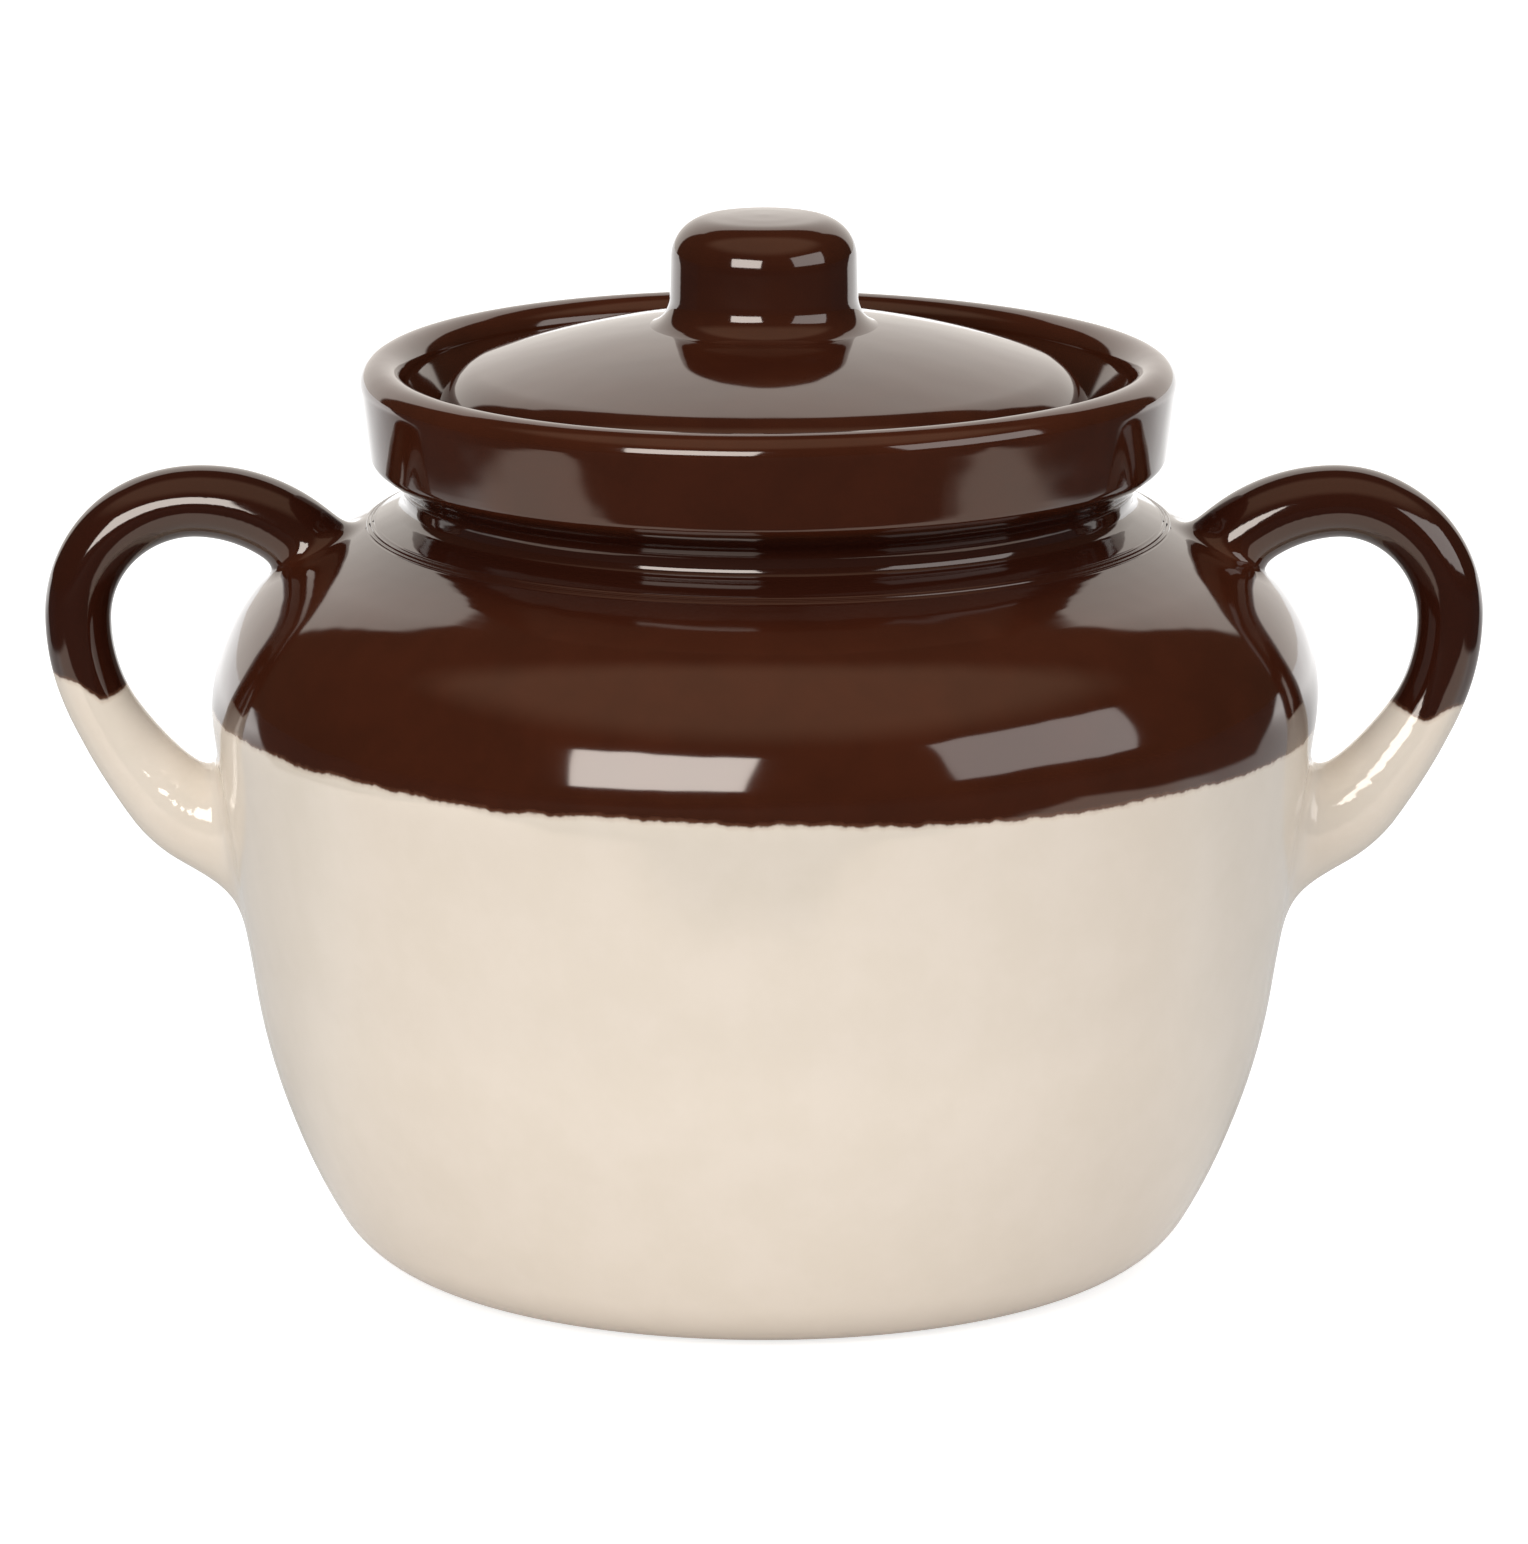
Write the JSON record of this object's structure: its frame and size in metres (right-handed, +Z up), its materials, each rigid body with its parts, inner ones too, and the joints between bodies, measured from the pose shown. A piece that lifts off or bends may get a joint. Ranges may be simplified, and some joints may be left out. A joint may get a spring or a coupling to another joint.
{
  "type": "stoneware bean pot",
  "caption": "Bellied stoneware bean pot with a galleried collar, loop handles and a loose domed lid with a stub knob.",
  "frame": {"origin": "centre of the resting plane under the foot ring", "axes": "+Z up along the axis that the pot and lid are turned about, +X towards the right-hand handle, -Y towards the front of the picture"},
  "size_m": [0.299, 0.23, 0.22],
  "materials": {
    "pot_glaze": "gloss",
    "handle_glaze": "gloss",
    "lid_glaze": "gloss"
  },
  "bodies": {
    "pot": {"pot_body": "pot_glaze", "handle_left": "handle_glaze", "handle_right": "handle_glaze"},
    "lid": {"lid": "lid_glaze", "lid_knob": "lid_glaze"}
  },
  "joints": [
    {"name": "lid_lift", "type": "slide", "parent": "pot", "child": "lid", "axis": [0, 0, 1], "range_m": [0, 0.08]}
  ]
}
